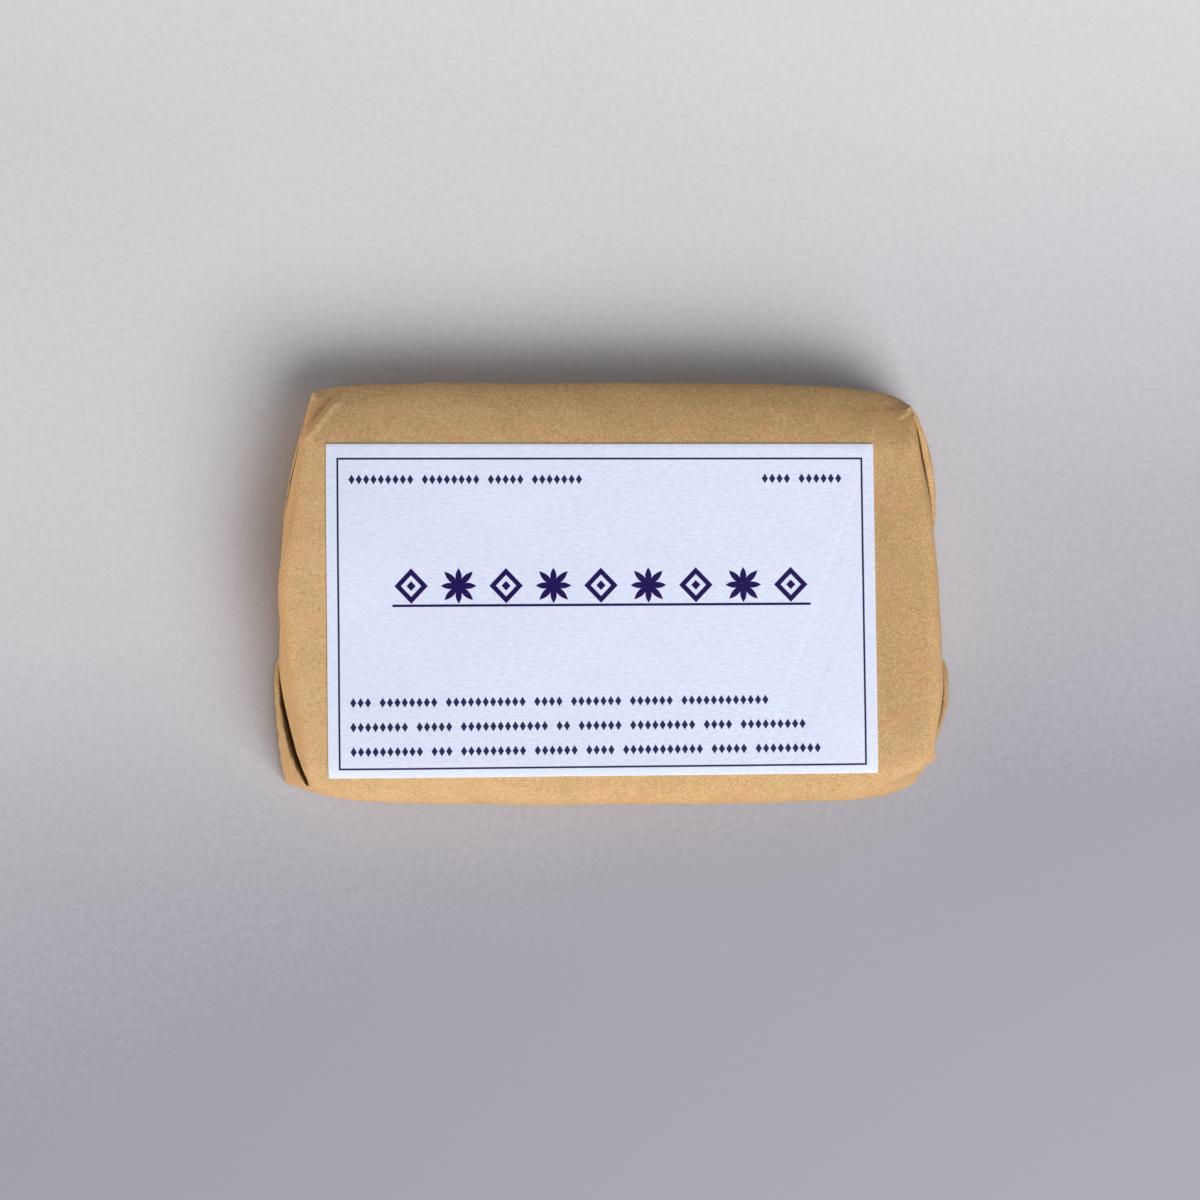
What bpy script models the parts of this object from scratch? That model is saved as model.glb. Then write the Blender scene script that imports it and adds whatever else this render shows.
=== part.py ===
# A block of butter wrapped in brown kraft paper, with a card label on its top.
#
# The block lies flat. X runs along its length, Y across it from front to back, and Z up.
# The origin is on the surface that it rests on, below the middle of its box.
#
# The wrapping is one solid. It is a loft: rings run round the block, one after another along its length, and
# each end is closed by the folded paper. There the long sides are tucked in first, and the top flap is then
# folded down over them. Its two slanting edges stand off the tucked paper, which leaves a slit under each.

import math

import bpy
from mathutils import Matrix, Vector, noise

MM = 0.001

# Driving dimensions of the wrapped block
BASE_LENGTH = 113.4 * MM  # from end to end at the base, where the ends lean out furthest
TOP_LENGTH = 105.0 * MM  # between the same ends at the height of the top
WIDTH = 68.4 * MM
HEIGHT = 19.8 * MM  # of the paper, without the label
CROWN = 0.3 * MM  # how far the middle of the top sinks below its rim
SIDE_BULGE = 0.6 * MM  # how far the long sides swell at half height

# Roundings: (across, up) is how far each one reaches from the sharp edge
END_TOP_ROUND = (4.0 * MM, 3.6 * MM)
END_BASE_ROUND = (1.6 * MM, 1.4 * MM)
BACK_TOP_ROUND = (10.5 * MM, 8.5 * MM)
FRONT_TOP_ROUND = (6.5 * MM, 6.0 * MM)
SIDE_BASE_ROUND = (2.6 * MM, 2.4 * MM)

# Where the folded corners of the paper end up: (end, side) -> position, for end -1 left or 1 right and for
# side -1 front or 1 back. The upper ones are where the slanting edges of the top flaps start.
UPPER_CORNERS = {
    (-1, 1): Vector((-49.3, 32.8, 16.2)) * MM,
    (1, 1): Vector((49.3, 30.9, 15.8)) * MM,
    (1, -1): Vector((53.7, -27.6, 14.2)) * MM,
    (-1, -1): Vector((-50.0, -31.8, 15.4)) * MM,
}
LOWER_CORNERS = {
    (-1, 1): Vector((-50.6, 33.0, 0.0)) * MM,
    (1, 1): Vector((50.6, 31.2, 0.0)) * MM,
    (1, -1): Vector((52.0, -32.4, 0.0)) * MM,
    (-1, -1): Vector((-55.4, -32.6, 0.0)) * MM,
}
CORNER_START = 0.6  # how far along, as a share of the half length, a corner starts to draw the paper
CORNER_FALL_ALONG = 3.0  # powers: a higher one keeps a corner's pull nearer to it
CORNER_FALL_ACROSS = 2.2

# The slit under each slanting edge of a top flap: (end, side) -> how far the edge stands off
SLIT_GAPS = {
    (-1, -1): 2.3 * MM,
    (-1, 1): 1.0 * MM,
    (1, -1): 1.2 * MM,
    (1, 1): 1.6 * MM,
}
# How far the tucked paper swells outside that edge: (end, side) -> swell
TUCK_SWELLS = {
    (-1, -1): 2.0 * MM,
    (-1, 1): -0.6 * MM,
    (1, -1): 2.2 * MM,
    (1, 1): 1.2 * MM,
}
TUCK_START, TUCK_END = 0.5, 1 / 6  # shares of the height over which that swell grows and dies away
SLIT_DEPTH = 3.5 * MM  # how far a slit runs in under its flap
SLIT_TAPER = 0.8  # how far the slit's inner end sinks, as a share of the gap
FOLD_THICKNESS = 0.35 * MM  # the doubled paper at a flap's edge
FOLD_SHARE = 0.4  # the most of a narrow gap that it fills

# Unevenness of the soft block under the paper
DENT_DEPTH = 0.35 * MM
DENT_SPREAD = 21.0 * MM
DENT_FREE = HEIGHT / 3  # the lowest part of the sides, which stays even

# Steps of the loft: along, across and up. A flap's slanting edge goes one step in for each step down, so
# their sizes set its slope.
STEPS_ALONG = 32
STEPS_ACROSS = 40
STEPS_UP = 14
END_CROWDING = 0.35  # how much closer together the rings are at the ends: 0 even, 0.5 closest

# The label
LABEL_LENGTH = 89.6 * MM
LABEL_WIDTH = 54.4 * MM
LABEL_THICKNESS = 0.3 * MM
LABEL_GAP = 0.35 * MM  # left free between the label and the paper
LABEL_CENTRE = (-1.7 * MM, -2.8 * MM)
LABEL_TURN = math.radians(0.45)
LABEL_STEP = 3.0 * MM

KRAFT = (0.62, 0.42, 0.22, 1.0)
LABEL_WHITE = (0.80, 0.83, 0.93, 1.0)
SHARP_ANGLE = math.radians(40)  # a steeper fold between two faces is shaded as an edge
FLAT_ANGLE = 0.0005  # radians: faces closer to one plane than this are merged


def clear_scene():
    for obj in list(bpy.data.objects):
        bpy.data.objects.remove(obj, do_unlink=True)


def make_collection(name):
    collection = bpy.data.collections.new(name)
    bpy.context.scene.collection.children.link(collection)
    return collection


def make_material(name, colour, roughness):
    material = bpy.data.materials.new(name)
    material.use_nodes = True
    shader = material.node_tree.nodes["Principled BSDF"]
    shader.inputs["Base Color"].default_value = colour
    shader.inputs["Roughness"].default_value = roughness
    shader.inputs["Metallic"].default_value = 0.0
    return material


def smooth(share):
    share = min(1.0, max(0.0, share))
    return share * share * (3 - 2 * share)


def rounded(out, up, reach):
    # Moves a point of a square corner onto, or inside, its rounding.
    # out and up count from the rounding's centre, in the way that the corner points.
    if out <= 0 or up <= 0:
        return out, up
    across, along = out / reach[0], up / reach[1]
    shrink = max(across, along) / math.hypot(across, along)
    return out * shrink, up * shrink


def round_edge(out, height, half, top_reach, base_reach):
    # Rounds the top and base edges of a section that is 2 * half across and HEIGHT high.
    if height > HEIGHT / 2:
        centre_out, centre_up = half - top_reach[0], HEIGHT - top_reach[1]
        moved_out, moved_up = rounded(out - centre_out, height - centre_up, top_reach)
        return centre_out + moved_out, centre_up + moved_up
    centre_out, centre_up = half - base_reach[0], base_reach[1]
    moved_out, moved_up = rounded(out - centre_out, centre_up - height, base_reach)
    return centre_out + moved_out, centre_up - moved_up


def block_point(along, across, level):
    # The rounded block without its pointed corners. along and across run from -1 to 1 and level from 0 to 1,
    # over a plain box.
    half_length, half_width = BASE_LENGTH / 2, WIDTH / 2
    out, z = round_edge(abs(along) * half_length, level * HEIGHT, half_length, END_TOP_ROUND, END_BASE_ROUND)
    lean = 1 - (1 - TOP_LENGTH / BASE_LENGTH) * z / HEIGHT
    x = math.copysign(out * lean, along)
    top_round = BACK_TOP_ROUND if across > 0 else FRONT_TOP_ROUND
    side, z = round_edge(abs(across) * half_width, z, half_width, top_round, SIDE_BASE_ROUND)
    share = z / HEIGHT
    side += SIDE_BULGE * across * across * 4 * share * (1 - share)
    z -= CROWN * smooth(share) * (1 - along * along) * (1 - across * across)
    return Vector((x, math.copysign(side, across), z))


def corner_pull(along, across, level):
    # How far the folded corners draw a point of the block. They don't lift it off the base.
    end, side = (1 if along > 0 else -1), (1 if across > 0 else -1)
    nearness = max(0.0, abs(along) - CORNER_START) / (1 - CORNER_START)
    share = nearness**CORNER_FALL_ALONG * abs(across) ** CORNER_FALL_ACROSS
    corner = LOWER_CORNERS[end, side].lerp(UPPER_CORNERS[end, side], level)
    pull = (corner - block_point(end, side, level)) * share
    pull.z *= level
    return pull


def skin_point(along, across, level):
    # A point of the paper where it lies on the block.
    point = block_point(along, across, level) + corner_pull(along, across, level)
    dent = DENT_DEPTH * noise.noise(point / DENT_SPREAD) * smooth(point.z / DENT_FREE)
    return point + Vector((0.0, dent * across * abs(across), dent * level))


def slit_points(end, side, step):
    # The slit at one step down the slanting edge of the flap: the edge's underside, the slit's inner end,
    # and the tucked paper across from the edge.
    share = step / STEPS_UP
    across = side * (1 - 2 * step / STEPS_ACROSS)
    level = 1 - share
    swell = math.sin(math.pi * share)
    gap = SLIT_GAPS[end, side] * swell
    inwards = Vector((-end, 0.0, 0.0))
    edge = skin_point(end, across, level)
    underside = edge + inwards * min(FOLD_THICKNESS, FOLD_SHARE * gap)
    reach = SLIT_DEPTH * swell / math.sqrt(2)
    inner_across = across - side * reach / (WIDTH / 2)
    inner = skin_point(end, inner_across, min(1.0, level + reach / HEIGHT)) + inwards * SLIT_TAPER * gap
    tucked = edge + inwards * gap
    return underside, inner, tucked


def tuck_point(end, side, across_step, step):
    # The tucked paper between the upright fold at the corner (across_step 0) and the flap's slanting edge.
    share = step / STEPS_UP
    across = side * (1 - 2 * across_step / STEPS_ACROSS)
    point = skin_point(end, across, 1 - share)
    towards_edge = across_step / step
    sunk = SLIT_GAPS[end, side] * math.sin(math.pi * share) * towards_edge
    shape = math.sin(math.pi * towards_edge) * smooth(share / TUCK_START) * smooth((1 - share) / TUCK_END)
    return point + Vector((end * (TUCK_SWELLS[end, side] * shape - sunk), 0.0, 0.0))


class Loft:
    # The vertices and faces of the wrapping. A vertex is made the first time that its name is asked for.

    def __init__(self):
        self.points = []
        self.faces = []
        self.numbers = {}

    def vertex(self, name, point):
        if name not in self.numbers:
            self.numbers[name] = len(self.points)
            self.points.append(point())
        return self.numbers[name]

    def skin(self, i, j, k):
        # i steps along from the left end, j across from the front and k down from the top
        even = 2 * i / STEPS_ALONG - 1
        along = even * (1 + END_CROWDING * (1 - even * even))
        across = 2 * j / STEPS_ACROSS - 1
        level = 1 - k / STEPS_UP
        return self.vertex(("skin", i, j, k), lambda: skin_point(along, across, level))

    def face(self, corners, turned):
        kept = [c for n, c in enumerate(corners) if c != corners[n - 1]]
        if len(kept) > 2:
            self.faces.append(tuple(reversed(kept)) if turned else tuple(kept))


def ring_steps():
    # The (across, down) steps once round the block: top, back, base, front
    top = [(j, 0) for j in range(STEPS_ACROSS)]
    back = [(STEPS_ACROSS, k) for k in range(STEPS_UP)]
    base = [(j, STEPS_UP) for j in range(STEPS_ACROSS, 0, -1)]
    front = [(0, k) for k in range(STEPS_UP, 0, -1)]
    return top + back + base + front


def loft_sleeve(loft):
    # The paper that runs round the block from end to end
    ring = ring_steps()
    for i in range(STEPS_ALONG):
        for n, (j, k) in enumerate(ring):
            next_j, next_k = ring[(n + 1) % len(ring)]
            corners = [loft.skin(i, j, k), loft.skin(i + 1, j, k)]
            corners += [loft.skin(i + 1, next_j, next_k), loft.skin(i, next_j, next_k)]
            loft.face(corners, False)


def loft_flap(loft, end):
    # The top flap, which narrows by one step on each side for every step down
    i = 0 if end < 0 else STEPS_ALONG
    for k in range(STEPS_UP):
        for j in range(k, STEPS_ACROSS - k):
            upper_left, upper_right = loft.skin(i, j, k), loft.skin(i, j + 1, k)
            lower_left = loft.skin(i, max(j, k + 1), k + 1)
            lower_right = loft.skin(i, min(j + 1, STEPS_ACROSS - k - 1), k + 1)
            if j == k:
                lower_left = lower_right
            if j == STEPS_ACROSS - k - 1:
                lower_right = lower_left
            loft.face([upper_left, upper_right, lower_right, lower_left], end > 0)


def loft_tuck(loft, end, side):
    # One tucked side and the slit between it and the flap
    i = 0 if end < 0 else STEPS_ALONG

    def column(steps_in):
        return steps_in if side < 0 else STEPS_ACROSS - steps_in

    def slit(line, step):
        # line 0 is the flap's edge; the others are those of slit_points
        if line == 0 or step in (0, STEPS_UP):
            return loft.skin(i, column(step), step)
        name = ("slit", end, side, line, step)
        return loft.vertex(name, lambda: slit_points(end, side, step)[line - 1])

    def tucked(steps_in, step):
        if steps_in == 0 or step == STEPS_UP:
            return loft.skin(i, column(steps_in), step)
        if steps_in == step:
            return slit(3, step)
        name = ("tuck", end, side, steps_in, step)
        return loft.vertex(name, lambda: tuck_point(end, side, steps_in, step))

    turned = end * side < 0
    for step in range(STEPS_UP):
        for steps_in in range(step + 1):
            corners = [tucked(steps_in, step), tucked(min(steps_in + 1, step), step)]
            corners += [tucked(steps_in + 1, step + 1), tucked(steps_in, step + 1)]
            loft.face(corners, turned)
        for line in range(3):
            corners = [slit(line + 1, step), slit(line, step)]
            corners += [slit(line, step + 1), slit(line + 1, step + 1)]
            loft.face(corners, turned)


def make_wrapping(collection, material):
    loft = Loft()
    loft_sleeve(loft)
    for end in (-1, 1):
        loft_flap(loft, end)
        for side in (-1, 1):
            loft_tuck(loft, end, side)
    mesh = bpy.data.meshes.new("paper_wrap")
    mesh.from_pydata(loft.points, [], loft.faces)
    mesh.materials.append(material)
    mesh.shade_smooth()
    mesh.set_sharp_from_angle(angle=SHARP_ANGLE)
    wrapping = bpy.data.objects.new("paper_wrap", mesh)
    collection.objects.link(wrapping)
    flat = wrapping.modifiers.new("flat base", "DECIMATE")
    flat.decimate_type = "DISSOLVE"
    flat.angle_limit = FLAT_ANGLE
    return wrapping


def box_shift(obj):
    # What brings the middle of the object's box over the origin
    bpy.context.view_layer.update()
    corners = [Vector(corner) for corner in obj.bound_box]
    low = Vector([min(corner[axis] for corner in corners) for axis in range(3)])
    high = Vector([max(corner[axis] for corner in corners) for axis in range(3)])
    return Vector((-(low.x + high.x) / 2, -(low.y + high.y) / 2, -low.z))


def make_label(collection, material, wrapping):
    # A card laid on the top: a grid dropped onto the paper from above, then given its thickness
    bpy.ops.mesh.primitive_grid_add(
        x_subdivisions=round(LABEL_LENGTH / LABEL_STEP),
        y_subdivisions=round(LABEL_WIDTH / LABEL_STEP),
        size=1.0,
        location=(LABEL_CENTRE[0], LABEL_CENTRE[1], 2 * HEIGHT),
        rotation=(0.0, 0.0, LABEL_TURN),
    )
    label = bpy.context.object
    label.name = "label"
    label.data.name = "label"
    label.data.transform(Matrix.Diagonal((LABEL_LENGTH, LABEL_WIDTH, 1.0, 1.0)))
    for old in list(label.users_collection):
        old.objects.unlink(label)
    collection.objects.link(label)
    label.data.materials.append(material)
    drop = label.modifiers.new("laid on the paper", "SHRINKWRAP")
    drop.target = wrapping
    drop.wrap_method = "PROJECT"
    drop.use_project_z = True
    drop.use_negative_direction = True
    drop.use_positive_direction = False
    drop.wrap_mode = "ABOVE_SURFACE"
    drop.offset = LABEL_GAP
    card = label.modifiers.new("card", "SOLIDIFY")
    card.thickness = LABEL_THICKNESS
    card.offset = 1.0
    return label


def main():
    clear_scene()
    collection = make_collection("wrapped_butter_block")
    kraft = make_material("kraft_paper", KRAFT, 0.75)
    card = make_material("label_card", LABEL_WHITE, 0.7)
    wrapping = make_wrapping(collection, kraft)
    wrapping.location = box_shift(wrapping)
    make_label(collection, card, wrapping)


main()
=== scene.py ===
import math

import bpy
import numpy as np
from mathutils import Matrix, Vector, noise


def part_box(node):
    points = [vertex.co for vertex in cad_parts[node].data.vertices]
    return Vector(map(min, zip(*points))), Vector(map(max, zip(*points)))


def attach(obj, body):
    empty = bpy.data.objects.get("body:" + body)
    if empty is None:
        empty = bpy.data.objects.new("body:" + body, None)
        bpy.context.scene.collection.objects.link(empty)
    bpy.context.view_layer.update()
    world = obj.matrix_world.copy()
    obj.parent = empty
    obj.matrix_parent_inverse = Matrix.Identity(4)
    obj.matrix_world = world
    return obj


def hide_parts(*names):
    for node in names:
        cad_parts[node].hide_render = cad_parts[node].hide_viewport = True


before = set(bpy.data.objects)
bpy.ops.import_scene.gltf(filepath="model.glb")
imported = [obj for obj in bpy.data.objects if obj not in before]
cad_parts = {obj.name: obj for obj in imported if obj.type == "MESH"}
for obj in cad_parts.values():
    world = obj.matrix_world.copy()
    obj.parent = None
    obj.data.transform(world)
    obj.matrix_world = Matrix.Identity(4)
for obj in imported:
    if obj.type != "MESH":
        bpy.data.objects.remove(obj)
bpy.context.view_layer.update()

wrapLow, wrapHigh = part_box("paper_wrap")
mm = 0.001
print("frame loaded")

# Lengths in the dictionaries below are in millimetres and angles in degrees. A place in the plan is (x, y),
# with the label read from the front, so that -x is its left and -y its bottom.

# The block under the paper. A rounding is (how far it reaches across, how far it reaches up, how full it is:
# 2 is an ellipse and 1 a flat slope).
block = {
    "baseLength": (wrapHigh[0] - wrapLow[0]) / mm,
    "topLength": 105.0,
    "width": (wrapHigh[1] - wrapLow[1]) / mm - 1.4,  # the swell of the long sides makes up the rest
    "height": (wrapHigh[2] - wrapLow[2]) / mm - 0.1,  # and the unevenness of the top this bit
    "crown": 0.3,  # how far the middle of the top sinks
    "sideBulge": 0.6,
    "endTopRound": (2.6, 2.4, 2.0),
    "endBaseRound": (1.6, 1.4, 2.0),
    "backTopRound": (10.5, 5.3, 1.4),
    "frontTopRound": (6.5, 6.0, 2.0),
    "sideBaseRound": (2.6, 2.4, 2.0),
}

# Where the two ends, and the two long sides, stand out or in. An end's swell is (middle in y, spread, how far
# out at the top, how far out at the base), and a side's is (middle in x, spread, how far out).
endSwells = {
    -1: [(0.0, 11.0, 2.1, 0.0), (-15.0, 8.0, 0.3, 0.5)],
    1: [(-1.0, 11.0, 0.9, 0.0), (-16.0, 9.0, 1.5, 0.1), (8.0, 12.0, 0.0, -1.1), (22.0, 7.0, -0.7, -0.4)],
}
sideSwells = {1: [(42.0, 13.0, -0.85)], -1: [(-4.0, 18.0, 0.4), (31.0, 10.0, -0.3)]}

# Each upright fold at a corner, from the base up, as (share of the height, place). The front right one steps
# back under a pointed ear of the top sheet.
cornerFolds = {
    (-1, 1): [(0.0, (-50.9, 33.2, 0.0)), (1.0, (-49.5, 33.2, 15.0))],
    (1, 1): [(0.0, (50.6, 31.2, 0.0)), (1.0, (49.3, 30.9, 15.8))],
    (1, -1): [
        (0.0, (51.0, -32.1, 0.0)),
        (0.45, (51.0, -31.8, 7.0)),
        (0.80, (50.9, -28.9, 12.4)),
        (0.88, (53.0, -27.8, 13.6)),
        (1.0, (53.7, -27.1, 14.4)),
    ],
    (-1, -1): [(0.0, (-55.6, -32.6, 0.0)), (1.0, (-50.0, -31.8, 15.4))],
}
cornerReach = {
    "start": 0.6,  # how far along, as a share of the half length, the corners start to draw the paper
    "fallAlong": 3.0,  # powers: a higher one keeps a corner's pull nearer to it
    "fallAcross": {(-1, 1): 2.25, (1, 1): 2.25, (1, -1): 3.5, (-1, -1): 2.25},
}

# The paper tucked in under each slanting edge of a top flap: the size of the furrow under that edge, and
# where along the edge the slit gapes most; how far the lip beyond the furrow stands out, where it does most,
# how soon it thins from there, and how uneven it is.
tucks = {
    (-1, -1): {"furrow": 1.1, "gapesAt": 0.36, "lip": 1.2, "lipAt": 0.40, "thinning": 0.45, "uneven": 0.18},
    (-1, 1): {"furrow": 0.35, "gapesAt": 0.66, "lip": 0.2, "lipAt": 0.66, "thinning": 0.60, "uneven": 0.05},
    (1, -1): {"furrow": 1.05, "gapesAt": 0.62, "lip": 1.4, "lipAt": 0.70, "thinning": 0.65, "uneven": 0.15},
    (1, 1): {"furrow": 0.50, "gapesAt": 0.40, "lip": 1.4, "lipAt": 0.42, "thinning": 0.90, "uneven": 0.15},
}
# A furrow of size 1, from the flap's edge down: (how far below the edge, how far out, how far up)
furrow = [
    (0.0, -0.5, 0.0),
    (0.5, -1.2, -4.0),
    (1.2, -0.5, -6.0),
    (1.9, 0.1, -2.4),
    (2.5, 0.35, 0.5),
    (3.8, 0.0, 0.0),
]
tuckShape = {
    "sharpness": 0.65,  # how the slit narrows towards its ends: less is blunter
    "leastSize": 0.4,  # share of the furrow's size that is left where the slit is shut
    "lipStart": 2.2,  # where the lip starts, beyond a furrow of size 1, and over how much it comes out
    "lipRun": 1.6,
    "room": 7.0,  # height that the furrow and lip take; with less left above the base they are squeezed
    "leastSqueeze": 0.05,
    "baseEase": 3.5,  # height over which the lip draws in to the base
    "baseGap": 0.4,  # how far above the base the furrow stays
    "waves": (14, 0.5),  # how close the lip's waves are, along the edge and down from it
}
# Painted shade in the furrows: it stands in for the shade under each flap's edge.
furrowShade = {
    "nearBase": 1.5,  # how soon it darkens, as the squeeze eases and as the slit opens
    "asItGapes": 4,
    "end": 2.6,  # how far below the edge of a furrow of size 1 it ends, and over how much it fades
    "run": 1.6,
}
pocket = {
    "lines": 7,  # rows of points, in along the flap's underside and back out along the tuck
    "partIn": 0.6,  # the share of those rows that runs in
    "stretch": 0.43,  # the share that the whole way in takes, and the whole way out
    "depth": 5.0,
    "fold": 0.32,  # how thick the flap's folded edge is, and how much of a narrow gap it may fill
    "foldShare": 0.45,
    "taper": 0.85,  # how much of the gap is left at the inner end
    "sink": 0.08,  # slope of the pocket into the block
}

sheet = {
    "stepsAlong": 190,
    "stepsAcross": 180,
    "stepsUp": 63,
    "crowding": 0.30,
    "baseRim": 8,  # steps of the grid that are kept round the flat base
    "sharpAngle": 50,
}


def smooth(share):
    share = np.clip(share, 0.0, 1.0)
    return share * share * (3 - 2 * share)


def hump(distance, spread):
    return np.exp(-((distance / spread) ** 2))


def rounded(out, up, reach):
    # moves a point of a square corner onto, or inside, its rounding
    inside = (out > 0) & (up > 0)
    across = np.where(inside, out, 1.0) / reach[0]
    along = np.where(inside, up, 1.0) / reach[1]
    length = (across ** reach[2] + along ** reach[2]) ** (1 / reach[2])
    shrink = np.where(inside, np.maximum(across, along) / length, 1.0)
    return out * shrink, up * shrink


def roundEdge(out, height, half, topReach, baseReach):
    # rounds the top and base edges of a section that is 2 * half across
    topOut, topUp = rounded(out - (half - topReach[0]), height - (block["height"] - topReach[1]), topReach)
    baseOut, baseUp = rounded(out - (half - baseReach[0]), baseReach[1] - height, baseReach)
    upper = height > block["height"] / 2
    outNow = np.where(upper, half - topReach[0] + topOut, half - baseReach[0] + baseOut)
    heightNow = np.where(upper, block["height"] - topReach[1] + topUp, baseReach[1] - baseUp)
    return outNow, heightNow


def blockPoint(along, across, level):
    # along and across run from -1 to 1, and level from 0 to 1, over a plain box that is then rounded
    half = block["baseLength"] / 2
    ends = (block["endTopRound"], block["endBaseRound"])
    out, z = roundEdge(abs(along) * half, level * block["height"], half, *ends)
    topHalf, baseHalf = block["topLength"] / 2, half
    for end, swells in endSwells.items():
        for middle, spread, atTop, atBase in swells:
            nearness = hump(across * block["width"] / 2 - middle, spread) * (end * along > 0)
            topHalf = topHalf + atTop * nearness
            baseHalf = baseHalf + atBase * nearness
    x = np.sign(along) * out * (baseHalf + (topHalf - baseHalf) * z / block["height"]) / half
    back = np.where(across > 0, 1.0, 0.0)
    topRound = [b * back + f * (1 - back) for b, f in zip(block["backTopRound"], block["frontTopRound"])]
    half = block["width"] / 2
    side, z = roundEdge(abs(across) * half, z, half, topRound, block["sideBaseRound"])
    share = z / block["height"]
    side = side + block["sideBulge"] * across**2 * 4 * share * (1 - share)
    for face, swells in sideSwells.items():
        for middle, spread, amount in swells:
            side = side + amount * hump(x - middle, spread) * np.clip(face * across, 0, 1) ** 2
    z = z - block["crown"] * smooth(share) * (1 - along**2) * (1 - across**2)
    return np.stack([x, np.sign(across) * side, z], axis=-1)


def skinPoint(along, across, level):
    # the paper where it lies on the block, drawn out to its folded corners
    point = blockPoint(along, across, level)
    start = cornerReach["start"]
    for (end, side), fold in cornerFolds.items():
        near = np.clip(end * along - start, 0, None) / (1 - start)
        beside = np.clip(side * across, 0, None) ** cornerReach["fallAcross"][end, side]
        share = near ** cornerReach["fallAlong"] * beside
        levels = [stop[0] for stop in fold]
        places = np.array([stop[1] for stop in fold])
        corner = np.stack([np.interp(level, levels, places[:, axis]) for axis in range(3)], axis=-1)
        pull = corner - blockPoint(np.full_like(along, end), np.full_like(along, side), level)
        pull[..., 2] *= level
        point += pull * share[..., None]
    return point


def lens(share, widest, sharpness):
    # from 0 at both ends to 1 where it is widest
    return math.sin(math.pi * share ** (math.log(0.5) / math.log(widest))) ** sharpness


def opening(tuck, share):
    # how far the slit gapes; share runs down the flap's edge
    return lens(share, tuck["gapesAt"], tuckShape["sharpness"])


def tuckOffset(tuck, share, below):
    # how far out and up the tucked paper stands, this far below the place on the flap's edge that share
    # gives, and how much painted shade it gets there, from 0 to 1
    gape = opening(tuck, share)
    room = (1 - share) * block["height"]
    squeeze = max(tuckShape["leastSqueeze"], min(1.0, room / tuckShape["room"]))
    size = tuck["furrow"] * squeeze * (tuckShape["leastSize"] + (1 - tuckShape["leastSize"]) * gape)
    stops = np.array(furrow)
    out = float(np.interp(below / size, stops[:, 0], stops[:, 1])) * size * gape
    up = float(np.interp(below / size, stops[:, 0], stops[:, 2])) * size * gape
    height = room - below
    eased = float(smooth(height / (tuckShape["baseEase"] * squeeze)))
    turned = float(smooth((below - tuckShape["lipStart"] * size) / (tuckShape["lipRun"] * squeeze)))
    alongEdge, down = tuckShape["waves"]
    waves = noise.noise(Vector((share * alongEdge, below * down, tuck["lip"]))) * tuck["uneven"] * gape
    out += (tuck["lip"] * lens(share, tuck["lipAt"], tuck["thinning"]) + waves) * eased * turned
    # painted shade in the furrow, deepest just under the flap's edge and where the slit gapes
    shade = min(1.0, squeeze * furrowShade["nearBase"]) * min(1.0, gape * furrowShade["asItGapes"])
    shade *= min(1.0, max(0.0, (furrowShade["end"] - below / size) / furrowShade["run"]))
    return out, max(up, tuckShape["baseGap"] - height), shade


class PaperSheet:
    # a point is made the first time that it is asked for: its place on the block, its offset in x and z,
    # how much painted shade it gets in a fold, from 0 to 1, and how much painted highlight its edge gets
    def __init__(self):
        self.numbers = {}
        self.places = []
        self.faces = []

    def point(self, name, along, across, level, out=0.0, up=0.0, foldShade=0.0, edgeHighlight=0.0):
        if name not in self.numbers:
            self.numbers[name] = len(self.places)
            self.places.append((along, across, level, out, up, foldShade, edgeHighlight))
        return self.numbers[name]

    def skin(self, i, j, k):
        even = 2 * i / sheet["stepsAlong"] - 1
        along = even * (1 + sheet["crowding"] * (1 - even * even))
        across = 2 * j / sheet["stepsAcross"] - 1
        onFlapEdge = i in (0, sheet["stepsAlong"]) and 0 < k and k in (j, sheet["stepsAcross"] - j)
        return self.point((i, j, k), along, across, 1 - k / sheet["stepsUp"], edgeHighlight=float(onFlapEdge))

    def face(self, corners, turned):
        kept = [c for n, c in enumerate(corners) if c != corners[n - 1]]
        if len(kept) > 2:
            self.faces.append(kept[::-1] if turned else kept)


def laySleeve(paper):
    # the rings round the block, and the flat of the base as one face inside a rim of the grid
    nAcross, nUp, nAlong, rim = sheet["stepsAcross"], sheet["stepsUp"], sheet["stepsAlong"], sheet["baseRim"]
    ring = [(j, 0) for j in range(nAcross)] + [(nAcross, k) for k in range(nUp)]
    ring += [(j, nUp) for j in range(nAcross, 0, -1)] + [(0, k) for k in range(nUp, 0, -1)]
    for i in range(nAlong):
        for n, (j, k) in enumerate(ring):
            nextJ, nextK = ring[(n + 1) % len(ring)]
            onBase = k == nUp and nextK == nUp
            if onBase and rim <= i < nAlong - rim and rim <= nextJ < nAcross - rim:
                continue
            corners = [paper.skin(i, j, k), paper.skin(i + 1, j, k)]
            paper.face(corners + [paper.skin(i + 1, nextJ, nextK), paper.skin(i, nextJ, nextK)], False)
    highI, highJ = nAlong - rim, nAcross - rim
    loop = [(i, rim) for i in range(rim, highI)] + [(highI, j) for j in range(rim, highJ)]
    loop += [(i, highJ) for i in range(highI, rim, -1)] + [(rim, j) for j in range(highJ, rim, -1)]
    paper.face([paper.skin(i, j, nUp) for i, j in loop], True)


def layFlap(paper, end):
    # the top flap, one step narrower on each side for each step down
    i = 0 if end < 0 else sheet["stepsAlong"]
    nAcross = sheet["stepsAcross"]
    for k in range(sheet["stepsUp"]):
        for j in range(k, nAcross - k):
            lower = [paper.skin(i, max(j, k + 1), k + 1), paper.skin(i, min(j + 1, nAcross - k - 1), k + 1)]
            if j == k:
                lower[0] = lower[1]
            if j == nAcross - k - 1:
                lower[1] = lower[0]
            paper.face([paper.skin(i, j, k), paper.skin(i, j + 1, k), lower[1], lower[0]], end > 0)


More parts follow.
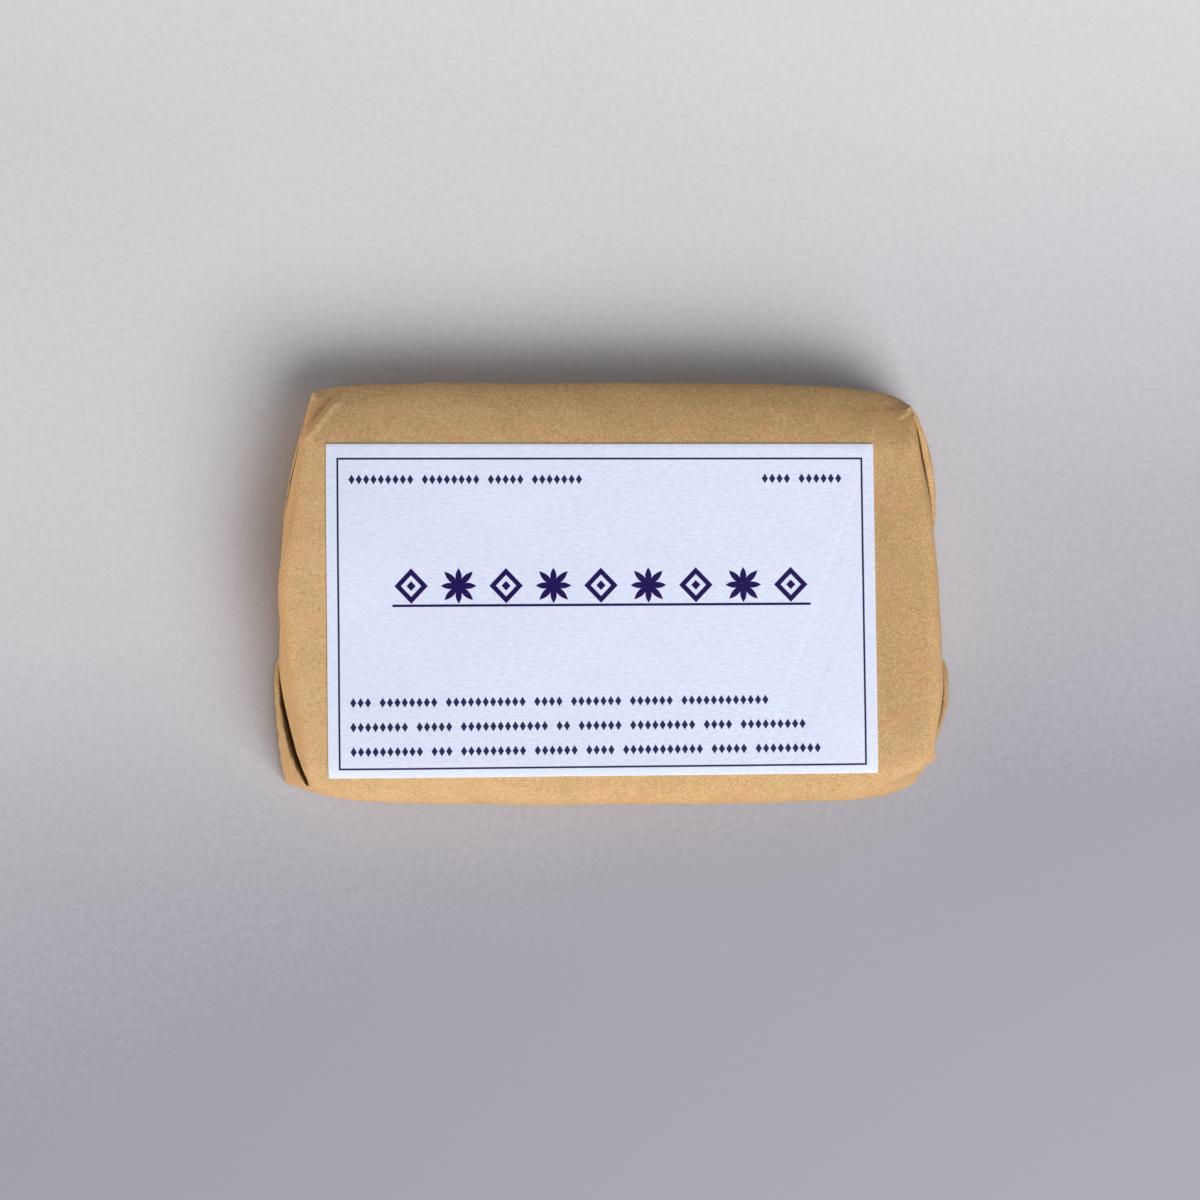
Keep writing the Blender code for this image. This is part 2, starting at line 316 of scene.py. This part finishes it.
def layTuck(paper, end, side):
    # one tucked side of the paper, and the pocket between it and the flap
    i = 0 if end < 0 else sheet["stepsAlong"]
    nAcross, nUp, lines = sheet["stepsAcross"], sheet["stepsUp"], pocket["lines"]
    tuck = tucks[end, side]

    def column(stepsIn):
        return stepsIn if side < 0 else nAcross - stepsIn

    def pocketPoint(line, step):
        # line 0 is the flap's edge; the next ones run in along its underside and back out along the tuck
        if line == 0 or step in (0, nUp):
            return paper.skin(i, column(step), step)
        share, turn = step / nUp, line / lines
        gape = opening(tuck, share)
        across, level = side * (1 - 2 * share * nUp / nAcross), 1 - share
        # the pocket under the flap gets the furrow's painted shade
        out, up, shade = tuckOffset(tuck, share, 0.0)
        gap = -out
        name = (end, side, line, step)
        if line == lines:
            return paper.point(name, end, across, level, end * out, up, shade)
        wayIn = turn < pocket["partIn"]
        inShare = (turn - 1 / lines if wayIn else 1 - turn) / pocket["stretch"]
        reach = pocket["depth"] * gape / math.sqrt(2) * min(1.0, max(0.0, inShare))
        if wayIn:
            depth = min(pocket["fold"], pocket["foldShare"] * gap)
        else:
            wayOut = (turn - pocket["partIn"]) / (1 - pocket["partIn"])
            depth = gap * (pocket["taper"] + (1 - pocket["taper"]) * wayOut)
        depth += pocket["sink"] * reach
        highest = 1 - block["endTopRound"][1] / block["height"]
        innerLevel = max(level, min(highest, level + reach / block["height"]))
        innerAcross = across - side * 2 * reach / block["width"]
        return paper.point(name, end, innerAcross, innerLevel, -end * depth, 0.0, shade)

    def tucked(stepsIn, step):
        if stepsIn == 0 or step == nUp:
            return paper.skin(i, column(stepsIn), step)
        if stepsIn == step:
            return pocketPoint(lines, step)
        below = (step - stepsIn) * block["height"] / nUp
        across = side * (1 - 2 * stepsIn / nAcross)
        out, up, shade = tuckOffset(tuck, stepsIn / nUp, below)
        name = (end, side, "tuck", stepsIn, step)
        return paper.point(name, end, across, 1 - step / nUp, end * out, up, shade)

    turned = end * side < 0
    for step in range(nUp):
        for stepsIn in range(step + 1):
            corners = [tucked(stepsIn, step), tucked(min(stepsIn + 1, step), step)]
            paper.face(corners + [tucked(stepsIn + 1, step + 1), tucked(stepsIn, step + 1)], turned)
        for line in range(lines):
            corners = [pocketPoint(line + 1, step), pocketPoint(line, step)]
            paper.face(corners + [pocketPoint(line, step + 1), pocketPoint(line + 1, step + 1)], turned)


# Creases of the top sheet: from and to in the plan, how far the paper drops to the right of the line as one
# goes, and how soon; the height above which the crease shows; how high and wide the ridge on its left is; and
# how much painted highlight it gets on the ridge and painted shade in the valley beside it.
creases = [
    {
        "from": (-42.7, 35.5), "to": (-50.4, 25.4), "drop": -1.3, "run": 0.9, "foot": 13.5,
        "ridge": 0.3, "wide": 0.6, "creaseLight": 0.7,
    },
    {
        "from": (47.2, 28.6), "to": (50.4, 30.9), "drop": -0.25, "run": 0.4, "foot": 0.0,
        "ridge": 0.08, "wide": 0.4, "creaseLight": 0.6,
    },
    {
        "from": (44.6, 31.6), "to": (49.6, 29.9), "drop": -0.10, "run": 0.4, "foot": 0.0,
        "ridge": 0.12, "wide": 0.4, "creaseLight": 0.5,
    },
    {
        "from": (45.2, -31.1), "to": (51.4, -28.9), "drop": -0.80, "run": 0.8, "foot": 0.0,
        "ridge": 0.15, "wide": 0.5, "creaseLight": 0.6,
    },
]
wrinkles = {
    "dent": 0.30,  # broad unevenness, and how far it spreads
    "dentSpread": 19.0,
    "ripple": 0.06,  # small unevenness
    "rippleSpread": 5.5,
    "creaseRise": 4.0,  # height over which a crease comes in
}


def creaseLift(points, crease):
    # how far each point is lifted by one crease, and its painted light: a highlight on the ridge, shade in
    # the valley
    start, stop = np.array(crease["from"]), np.array(crease["to"])
    length = float(np.hypot(*(stop - start)))
    way = (stop - start) / length
    offset = points[:, :2] - start
    along = offset @ way
    left = offset @ np.array([-way[1], way[0]])
    within = smooth(along / crease["wide"] + 0.5) * smooth((length - along) / crease["wide"] + 0.5)
    within *= smooth((points[:, 2] - crease["foot"]) / wrinkles["creaseRise"])
    beyond = smooth(-left / crease["run"])
    ridge = hump(left - crease["wide"] / 2, crease["wide"])
    valley = hump(left + crease["run"] / 2, crease["run"])
    return within * (crease["drop"] * beyond + crease["ridge"] * ridge), within * (ridge - valley)


def paperPoints(paper):
    # every point's place, its painted shade in a fold, and its painted light: a highlight on flap edges and
    # crease ridges above 0, and crease shade below
    places = np.array(paper.places)
    points = skinPoint(places[:, 0], places[:, 1], places[:, 2])
    height = smooth(points[:, 2] / (block["height"] / 3))
    uneven = np.zeros(len(points))
    for size, spread in (("dent", "dentSpread"), ("ripple", "rippleSpread")):
        values = [noise.noise(Vector(point / wrinkles[spread])) for point in points]
        uneven += wrinkles[size] * np.array(values)
    across, level = places[:, 1], places[:, 2]
    points[:, 1] += uneven * height * across * abs(across)
    upward = uneven * level
    edgeAndCreaseLight = places[:, 6].copy()
    for crease in creases:
        lift, creaseLight = creaseLift(points, crease)
        upward = upward + lift
        edgeAndCreaseLight += creaseLight * crease["creaseLight"]
    points[:, 2] += upward * height
    points[:, 0] += places[:, 3]
    points[:, 2] += places[:, 4]
    return points, places[:, 5], edgeAndCreaseLight


def newObject(name, points, faces):
    mesh = bpy.data.meshes.new(name)
    mesh.from_pydata((points * mm).tolist(), [], faces)
    mesh.update()
    piece = bpy.data.objects.new(name, mesh)
    bpy.context.scene.collection.objects.link(piece)
    return piece


def triangleCount(piece):
    return sum(len(face.vertices) - 2 for face in piece.data.polygons)


def makeWrap():
    # the sleeve, and at each end the two tucked sides under the top flap
    paper = PaperSheet()
    laySleeve(paper)
    for end in (-1, 1):
        layFlap(paper, end)
        for side in (-1, 1):
            layTuck(paper, end, side)
    points, foldShade, edgeAndCreaseLight = paperPoints(paper)
    wrap = newObject("paperWrap", points, paper.faces)
    for name, values in (("foldShade", foldShade), ("edgeAndCreaseLight", edgeAndCreaseLight)):
        attribute = wrap.data.attributes.new(name, "FLOAT", "POINT")
        attribute.data.foreach_set("value", values.astype(np.float32))
    wrap.data.shade_smooth()
    wrap.data.set_sharp_from_angle(angle=math.radians(sheet["sharpAngle"]))
    print("paper wrap laid:", triangleCount(wrap), "triangles")
    return wrap


# The card label: its corners in the plan, and the sheet that it is cut from
card = {
    "topLeft": (-46.79, 24.37),
    "topRight": (42.66, 24.37),
    "bottomRight": (43.49, -29.41),
    "bottomLeft": (-46.38, -30.39),
    "width": 89.6,
    "height": 54.4,
    "thickness": 0.3,
    "gap": 0.05,  # between the card and the paper under it
    "steps": (280, 170),
    "edgeRound": 0.06,
    "felt": 0.012,  # depth of the paper's pressed ripples that the mesh carries
    "feltSpread": (1.4, 0.75),
    "sharpAngle": 40,
}


def surfaceHeights(piece, plan):
    # the height of the piece under each place in the plan, in millimetres
    heights = []
    for x, y in plan:
        place = piece.ray_cast(Vector((x * mm, y * mm, 0.1)), Vector((0, 0, -1)))[1]
        heights.append(place.z / mm)
    return np.array(heights)


def cardGrid():
    # the places of the card's points in the plan, and on the card from its middle
    stepsX, stepsY = card["steps"]
    shareX, shareY = np.meshgrid(np.linspace(0, 1, stepsX + 1), np.linspace(0, 1, stepsY + 1))
    corners = [np.array(card[name]) for name in ("bottomLeft", "bottomRight", "topRight", "topLeft")]
    low = corners[0] + (corners[1] - corners[0]) * shareX[..., None]
    high = corners[3] + (corners[2] - corners[3]) * shareX[..., None]
    plan = low + (high - low) * shareY[..., None]
    onCard = np.stack([(shareX - 0.5) * card["width"], (shareY - 0.5) * card["height"]], axis=-1)
    return plan.reshape(-1, 2), onCard.reshape(-1, 2)


def cardTop(under, onCard):
    # the height of the card's top over each place: rippled, and lower along the cut edge
    spread = card["feltSpread"]
    felt = [noise.noise(Vector((x / spread[0], y / spread[1], 7.0))) for x, y in onCard]
    edge = np.minimum(card["width"] / 2 - abs(onCard[:, 0]), card["height"] / 2 - abs(onCard[:, 1]))
    top = under + card["thickness"] + card["felt"] * np.array(felt)
    return top - card["edgeRound"] * (edge < 0.01)  # 0 on the rim, but for rounding errors


def cardFaces():
    # the top as a grid, the four cut edges, and the underside as one face
    stepsX, stepsY = card["steps"]
    row = stepsX + 1
    half = row * (stepsY + 1)
    faces = []
    for y in range(stepsY):
        for x in range(stepsX):
            n = y * row + x
            faces.append((n, n + 1, n + 1 + row, n + row))
    rim = list(range(stepsX)) + [stepsX + row * y for y in range(stepsY)]
    rim += [row * stepsY + x for x in range(stepsX, 0, -1)] + [row * y for y in range(stepsY, 0, -1)]
    for n, first in enumerate(rim):
        second = rim[(n + 1) % len(rim)]
        faces.append((first, first + half, second + half, second))
    return faces + [[n + half for n in rim][::-1]]


def makeLabel(wrap):
    plan, onCard = cardGrid()
    under = surfaceHeights(wrap, plan) + card["gap"]
    top = cardTop(under, onCard)
    points = np.concatenate([np.column_stack([plan, top]), np.column_stack([plan, under])])
    faces = cardFaces()
    used = sorted({n for face in faces for n in face})  # the underside has points along its rim alone
    order = {n: place for place, n in enumerate(used)}
    label = newObject("cardLabel", points[used], [[order[n] for n in face] for face in faces])
    place = label.data.attributes.new("onCard", "FLOAT_VECTOR", "POINT")
    both = np.column_stack([np.tile(onCard, (2, 1)), np.zeros(len(points))])[used]
    place.data.foreach_set("vector", both.ravel().astype(np.float32))
    label.data.shade_smooth()
    label.data.set_sharp_from_angle(angle=math.radians(card["sharpAngle"]))
    print("label laid:", triangleCount(label), "triangles")
    return label


class Wire:
    # a socket of a material's nodes: arithmetic on it adds Math nodes, and node() adds any other
    def __init__(self, tree, socket=None):
        self.tree = tree
        self.socket = socket

    def node(self, kind, settings=None, values=None, output=0):
        made = self.tree.nodes.new("ShaderNode" + kind)
        for name, value in (settings or {}).items():
            setattr(made, name, value)
        for name, value in (values or {}).items():
            if isinstance(value, Wire):
                self.tree.links.new(value.socket, made.inputs[name])
            else:
                made.inputs[name].default_value = value
        return Wire(self.tree, made.outputs[output])

    def math(self, operation, *values, clamp=False):
        return self.node("Math", {"operation": operation, "use_clamp": clamp}, dict(enumerate(values)))

    def __add__(self, other):
        return self.math("ADD", self, other)

    __radd__ = __add__

    def __sub__(self, other):
        return self.math("SUBTRACT", self, other)

    def __rsub__(self, other):
        return self.math("SUBTRACT", other, self)

    def __mul__(self, other):
        return self.math("MULTIPLY", self, other)

    __rmul__ = __mul__

    def __truediv__(self, other):
        return self.math("DIVIDE", self, other)

    def __abs__(self):
        return self.math("ABSOLUTE", self)

    def clamped(self):
        return self.math("ADD", self, 0.0, clamp=True)

    def least(self, other):
        return self.math("MINIMUM", self, other)

    def most(self, other):
        return self.math("MAXIMUM", self, other)

    def ramp(self, low, high):
        # 0 up to low and 1 from high on, with an even rise between
        return self.math("DIVIDE", self - low, high - low, clamp=True)

    def blend(self, first, second):
        # a colour between two, by this factor
        settings = {"data_type": "RGBA", "clamp_factor": True}
        return self.node("Mix", settings, {0: self, 6: first, 7: second}, output=2)

    def parts(self):
        first = self.node("SeparateXYZ", values={0: self})
        return [Wire(self.tree, output) for output in first.socket.node.outputs]

    def stretched(self, x, y, z):
        return self.node("VectorMath", {"operation": "MULTIPLY"}, {0: self, 1: (x, y, z)})

    def noise(self, scale, detail=2.0, roughness=0.5, distortion=0.0):
        values = {"Vector": self, "Scale": scale, "Detail": detail, "Roughness": roughness}
        return self.node("TexNoise", values={**values, "Distortion": distortion})


def newMaterial(name):
    # the material, a wire to start from, and its shader's input sockets
    material = bpy.data.materials.new(name)
    material.use_nodes = True
    tree = material.node_tree
    return material, Wire(tree), tree.nodes["Principled BSDF"].inputs


def feed(wire, socket):
    wire.tree.links.new(wire.socket, socket)


def placeInMm(start):
    return start.node("TexCoord", output=3).stretched(1 / mm, 1 / mm, 1 / mm)


kraft = {
    "pale": (0.700, 0.466, 0.244, 1),
    "deep": (0.470, 0.282, 0.120, 1),
    "reddish": (0.620, 0.345, 0.165, 1),
    "olive": (0.540, 0.375, 0.150, 1),
    "speck": (0.130, 0.060, 0.025, 1),
    # painted light: a highlight on the flap edges and crease ridges, and shade in the crease valleys
    "edgeHighlight": (0.780, 0.560, 0.340, 1),
    "creaseShade": (0.360, 0.190, 0.070, 1),
    "stain": (0.360, 0.300, 0.170, 1),
    # painted shade in the slits: a reddish shade, and near-black at the bottom of the furrow
    "hollowShade": (0.400, 0.180, 0.065, 1),
    "shade": (0.020, 0.003, 0.001, 1),
    "roughness": 0.78,
    "specular": 0.1,
}
# Short bent fibres in a random pattern of cells: the cells' size, the share of them that holds a fibre, its
# half length and half width, how far the pattern is moved from the other one, and how much it colours
fibres = {
    "dark": {"cell": 6.5, "share": 0.4, "size": (0.9, 0.07), "shift": 0.0, "strength": 0.35},
    "pale": {"cell": 2.6, "share": 0.7, "size": (0.8, 0.07), "shift": 40.0, "strength": 0.45},
}
specks = {"cell": 3.4, "radius": (0.03, 0.07), "share": 0.36, "strength": 0.6}


def fibreMask(place, kind):
    # one fibre at most to each cell, each turned and bent its own way
    fibre = fibres[kind]
    halfLength, halfWidth = fibre["size"]
    shift = (fibre["shift"],) * 3
    moved = place.node("VectorMath", {"operation": "ADD"}, {0: place, 1: shift})
    settings = {"voronoi_dimensions": "3D", "feature": "F1"}
    values = {"Vector": moved, "Scale": 1 / fibre["cell"]}
    chance = moved.node("TexVoronoi", settings, values, output=1).parts()
    centre = moved.node("TexVoronoi", settings, values, output=2)
    offset = place.node("VectorMath", {"operation": "SUBTRACT"}, {0: moved, 1: centre}).parts()
    angle = chance[0] * math.pi * 2
    sine, cosine = angle.math("SINE", angle), angle.math("COSINE", angle)
    along = offset[0] * cosine + offset[1] * sine
    across = offset[1] * cosine - offset[0] * sine
    bent = abs(across + (chance[1] - 0.5) * along * along * (1.6 / halfLength))
    line = (1 - bent.ramp(halfWidth * 0.4, halfWidth)) * (1 - abs(along).ramp(halfLength * 0.7, halfLength))
    rare = 1 - fibre["share"]
    return line * chance[2].ramp(rare, rare + 0.01)


def speckMask(place):
    # small round specks in some of the cells
    values = {"Vector": place, "Scale": 1 / specks["cell"]}
    distance = place.node("TexVoronoi", values=values)
    chance = place.node("TexVoronoi", values=values, output=1).parts()[0]
    rare = 1 - specks["share"]
    return (1 - distance.ramp(*specks["radius"])) * chance.ramp(rare - 0.02, rare + 0.02)


def kraftColour(place, grain, flecks):
    # the bare paper: its grain, broad tints, painted light that makes it lighter towards the left and front,
    # and a few stains
    patches = place.noise(0.12, 3.0).ramp(0.35, 0.65)
    tints = place.stretched(1.0, 1.3, 1.0).noise(0.21, 2.0, 0.55).ramp(0.38, 0.62)
    x, y = place.parts()[:2]
    # painted light: the paper is lighter towards the left and the front, where more light falls
    paintedLightSlope = x * -0.0040 + y * -0.0040
    tone = (0.49 + (grain - 0.5) * 4.6 + (flecks - 0.5) * 1.2 + (patches - 0.5) * 0.25 + paintedLightSlope).clamped()
    colour = tone.blend(kraft["deep"], kraft["pale"])
    colour = (tints.ramp(0.5, 1.0) * 0.30).blend(colour, kraft["reddish"])
    colour = (tints.ramp(0.5, 0.0) * 0.30).blend(colour, kraft["olive"])
    stains = place.noise(0.15, 3.0, 0.6).ramp(0.62, 0.72)
    return (stains * 0.35).blend(colour, kraft["stain"])


def makeKraft():
    material, start, shader = newMaterial("kraftPaper")
    place = placeInMm(start)
    grain = place.stretched(0.9, 1.1, 1.1).noise(3.1, 4.0, 0.75)
    flecks = place.stretched(1.0, 1.8, 1.8).noise(1.1, 3.0, 0.6, 0.4)
    colour = kraftColour(place, grain, flecks)
    darkFibres, paleFibres = fibreMask(place, "dark"), fibreMask(place, "pale")
    colour = (darkFibres * fibres["dark"]["strength"]).blend(colour, kraft["speck"])
    colour = (paleFibres * fibres["pale"]["strength"]).blend(colour, kraft["pale"])
    colour = (speckMask(place) * specks["strength"]).blend(colour, kraft["speck"])
    # painted light: a highlight along the flap edges and crease ridges, and painted shade in the crease
    # valleys
    edgeAndCreaseLight = start.node("Attribute", {"attribute_name": "edgeAndCreaseLight"}, output=2)
    colour = (edgeAndCreaseLight * 0.35).clamped().blend(colour, kraft["edgeHighlight"])
    colour = (edgeAndCreaseLight * -0.35).clamped().blend(colour, kraft["creaseShade"])
    # painted shade in the slits under the flap edges: reddish, then near-black deepest in
    foldShade = start.node("Attribute", {"attribute_name": "foldShade"}, output=2)
    colour = foldShade.ramp(0.05, 0.25).blend(colour, kraft["hollowShade"])
    colour = foldShade.ramp(0.62, 0.86).blend(colour, kraft["shade"])
    feed(colour, shader["Base Color"])
    feed(kraft["roughness"] + (grain - 0.5) * 0.2, shader["Roughness"])
    height = grain * 0.6 + flecks * 0.4 + darkFibres * 0.3
    bump = place.node("Bump", values={"Strength": 0.5, "Distance": 0.06 * mm, "Height": height})
    feed(bump, shader["Normal"])
    shader["Specular IOR Level"].default_value = kraft["specular"]
    return material


ink = {
    "card": (0.775, 0.830, 0.990, 1),
    "cardShade": (0.660, 0.710, 0.880, 1),
    "smudge": (0.70, 0.74, 0.70, 1),
    "navy": (0.018, 0.018, 0.085, 1),
    "violet": (0.012, 0.001, 0.085, 1),
    "blur": 0.07,  # how far an edge of the ink fades
    "roughness": 0.62,
    "specular": 0.15,
}
frameLine = {"left": -43.07, "right": 43.0, "top": 24.95, "bottom": -25.85, "width": 0.33}
rule = {"left": -34.1, "right": 34.2, "y": 0.85, "width": 0.42}
ornaments = {
    "first": -31.0,
    "pitch": 7.75,
    "count": 9,
    "foot": 1.15,
    "height": 5.8,
    "halfWidth": 2.75,
    "petalLength": (3.3, 2.9),
    "petalHalfWidth": 0.52,
    "eye": 0.75,
    "ringInside": 0.60,  # shares of the diamond's size
    "core": 0.28,
}
# Rows of small lozenges in groups: each row's left end, its place up the card, and how many each group has
lozenges = {
    "pitch": 1.2,
    "halfWidth": 0.52,
    "halfHeight": 0.82,
    "rows": [
        (-41.2, 21.4, (9, 8, 5, 7)),
        (26.4, 21.5, (4, 6)),
        (-41.2, -14.9, (3, 8, 11, 4, 7, 6, 12)),
        (-41.2, -18.9, (8, 5, 12, 2, 6, 9, 4, 9)),
        (-41.2, -22.9, (10, 3, 9, 6, 4, 11, 5, 9)),
    ],
}


def inside(wire, low, high):
    # 1 between the two, with soft edges
    blur = ink["blur"]
    return wire.ramp(low - blur / 2, low + blur / 2) * (1 - wire.ramp(high - blur / 2, high + blur / 2))


def filled(signed):
    # 1 where the signed distance is inside a shape
    return signed.ramp(-ink["blur"] / 2, ink["blur"] / 2)


def frameMask(x, y):
    left, right, line = frameLine["left"], frameLine["right"], frameLine["width"]
    bottom, top = frameLine["bottom"], frameLine["top"]
    outer = inside(x, left, right) * inside(y, bottom, top)
    return outer - inside(x, left + line, right - line) * inside(y, bottom + line, top - line)


def ruleMask(x, y):
    half = rule["width"] / 2
    return inside(x, rule["left"], rule["right"]) * inside(y, rule["y"] - half, rule["y"] + half)


def lozengeMask(x, y):
    # each row is one pattern along x, kept where a group lies
    pitch = lozenges["pitch"]
    total = None
    for left, middle, groups in lozenges["rows"]:
        kept, first = None, left
        for count in groups:
            group = inside(x, first, first + count * pitch)
            kept = group if kept is None else kept + group
            first += (count + 1) * pitch
        step = (x - left) / pitch
        localX = abs(step - step.math("FLOOR", step) - 0.5) * pitch
        distance = localX / lozenges["halfWidth"] + abs(y - middle) / lozenges["halfHeight"]
        row = filled((1 - distance) * (lozenges["halfWidth"] * 0.8)) * kept
        total = row if total is None else total + row
    return total


def petal(along, across, kind):
    # a leaf shape from the flower's middle out
    share = along / ornaments["petalLength"][kind]
    return filled(share * (1 - share) * (4 * ornaments["petalHalfWidth"]) - across)


def ornamentMask(x, y):
    # a row that alternates a diamond in a diamond ring with a flower of eight petals
    first, pitch, height = ornaments["first"], ornaments["pitch"], ornaments["height"]
    step = (x - (first - pitch / 2)) / pitch
    number = step.math("FLOOR", step)
    localX = abs(step - number - 0.5) * pitch
    localY = abs(y - (ornaments["foot"] + height / 2))
    distance = localX / ornaments["halfWidth"] + localY / (height / 2)
    scale = ornaments["halfWidth"] * 0.7
    ring = filled((1 - distance) * scale) * (1 - filled((ornaments["ringInside"] - distance) * scale))
    diamond = ring.most(filled((ornaments["core"] - distance) * scale))
    slanting = petal((localX + localY) * math.sqrt(0.5), abs(localX - localY) * math.sqrt(0.5), 0)
    upright = petal(localX.most(localY), localX.least(localY), 1)
    flower = slanting.most(upright).most(filled(ornaments["eye"] - (localX + localY)))
    odd = number.math("FLOORED_MODULO", number, 2.0)
    row = inside(x, first - pitch / 2, first + (ornaments["count"] - 0.5) * pitch)
    return (diamond * (1 - odd) + flower * odd) * row


def makeCard():
    material, start, shader = newMaterial("printedCard")
    onCard = start.node("Attribute", {"attribute_name": "onCard"}, output=1)
    x, y = onCard.parts()[:2]
    ripples = onCard.stretched(0.9, 3.4, 1.0).noise(1.0, 3.0, 0.6, 0.5)
    soft = onCard.noise(0.06, 2.0)
    paper = (ripples.ramp(0.35, 0.62) * 0.8 + soft * 0.3).clamped().blend(ink["cardShade"], ink["card"])
    smudges = onCard.stretched(1.0, 2.2, 1.0).noise(0.13, 3.0, 0.6).ramp(0.66, 0.76)
    paper = (smudges * 0.35).blend(paper, ink["smudge"])
    small = frameMask(x, y) + lozengeMask(x, y)
    bold = ornamentMask(x, y).most(ruleMask(x, y))
    wear = 1 - ripples.ramp(0.62, 0.8) * 0.08
    printed = (small * wear).clamped().blend(paper, ink["navy"])
    printed = (bold * wear).clamped().blend(printed, ink["violet"])
    feed(printed, shader["Base Color"])
    feed(ink["roughness"] - (bold + small).clamped() * 0.15 + (ripples - 0.5) * 0.1, shader["Roughness"])
    height = ripples + onCard.noise(4.0, 3.0, 0.6) * 0.3
    bump = start.node("Bump", values={"Strength": 0.8, "Distance": 0.06 * mm, "Height": height})
    feed(bump, shader["Normal"])
    shader["Specular IOR Level"].default_value = ink["specular"]
    return material


# The floor is painted with shade: darker to the right and, more so, to the front, where less light falls.
floorPaint = {
    "light": (0.78, 0.78, 0.785, 1),
    "dark": (0.345, 0.345, 0.395, 1),
    "middle": 0.53,  # how dark it is at the origin, from 0 to 1
    "shadeToRight": 0.0019,  # how much darker for each millimetre to the right, and where that dies away behind
    "diesAway": (20.0, 80.0),
    "shadeToFront": 0.0047,  # how much darker for each millimetre to the front, and how much more in this stretch
    "front": (-8.0, -50.0),
    "frontShade": 0.2,
    "grain": 0.35,
    "soft": 0.1,
    "roughness": 0.7,
}


def makeFloor():
    bpy.ops.mesh.primitive_plane_add(size=4.0, location=(0.0, 0.0, -0.02 * mm))  # just clear of the base
    floor = bpy.context.object
    floor.name = "floor"
    material, start, shader = newMaterial("floorPaint")
    place = placeInMm(start)
    x, y = place.parts()[:2]
    # painted shade: darker to the right and to the front
    dark = x * floorPaint["shadeToRight"] * (1 - y.ramp(*floorPaint["diesAway"])) - y * floorPaint["shadeToFront"]
    dark = dark + y.ramp(*floorPaint["front"]) * floorPaint["frontShade"] + floorPaint["middle"]
    soft = place.noise(0.02, 2.0) * floorPaint["soft"]
    grain = place.noise(0.9, 4.0, 0.65)
    dark = (dark + soft + (grain - 0.5) * floorPaint["grain"]).clamped()
    feed(dark.blend(floorPaint["light"], floorPaint["dark"]), shader["Base Color"])
    bump = place.node("Bump", values={"Strength": 0.4, "Distance": 0.1 * mm, "Height": grain})
    feed(bump, shader["Normal"])
    shader["Roughness"].default_value = floorPaint["roughness"]
    floor.data.materials.append(material)


# The camera looks straight down. The frame is this wide at this height, which is the label's.
view = {"x": -1.96, "y": -1.14, "height": 450.5, "frameWidth": 195.8, "frameHeight": 20.5}
# Area lights that face the origin. Their places and sizes are in metres.
lights = {
    "window": {"place": (0.52, -0.66, 0.94), "size": (0.8, 0.9), "watts": 17.2, "colour": (1.0, 0.99, 0.99)},
    "wall": {"place": (-1.0, -0.15, 0.08), "size": (1.0, 0.12), "watts": 6.0, "colour": (1.0, 0.82, 0.62)},
}
room = {"colour": (0.90, 0.93, 1.0, 1), "strength": 0.27}


def makeCamera():
    data = bpy.data.cameras.new("overhead")
    data.sensor_width = 36.0
    data.lens = data.sensor_width * (view["height"] - view["frameHeight"]) / view["frameWidth"]
    data.clip_start, data.clip_end = 0.01, 10.0
    camera = bpy.data.objects.new("overhead", data)
    camera.location = (view["x"] * mm, view["y"] * mm, view["height"] * mm)
    bpy.context.scene.collection.objects.link(camera)
    bpy.context.scene.camera = camera


def makeLight(name):
    choice = lights[name]
    data = bpy.data.lights.new(name, "AREA")
    data.shape = "RECTANGLE"
    data.size, data.size_y = choice["size"]
    data.energy = choice["watts"]
    data.color = choice["colour"]
    light = bpy.data.objects.new(name, data)
    light.location = choice["place"]
    light.rotation_euler = (-Vector(choice["place"])).to_track_quat("-Z", "Y").to_euler()
    bpy.context.scene.collection.objects.link(light)


def makeRoom():
    world = bpy.data.worlds.new("room")
    world.use_nodes = True
    world.node_tree.nodes["Background"].inputs["Color"].default_value = room["colour"]
    world.node_tree.nodes["Background"].inputs["Strength"].default_value = room["strength"]
    bpy.context.scene.world = world
    bpy.context.scene.view_settings.view_transform = "Standard"


wrap = makeWrap()
label = makeLabel(wrap)
wrap.data.materials.append(makeKraft())
label.data.materials.append(makeCard())
print("paper and card painted")
makeFloor()
makeCamera()
for name in lights:
    makeLight(name)
makeRoom()
print("floor, camera and lights placed")
for piece, node, slot in ((wrap, "paper_wrap", "kraft_paper"), (label, "label", "label_card")):
    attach(piece, "root")
    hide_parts(node)
print("scene ready")
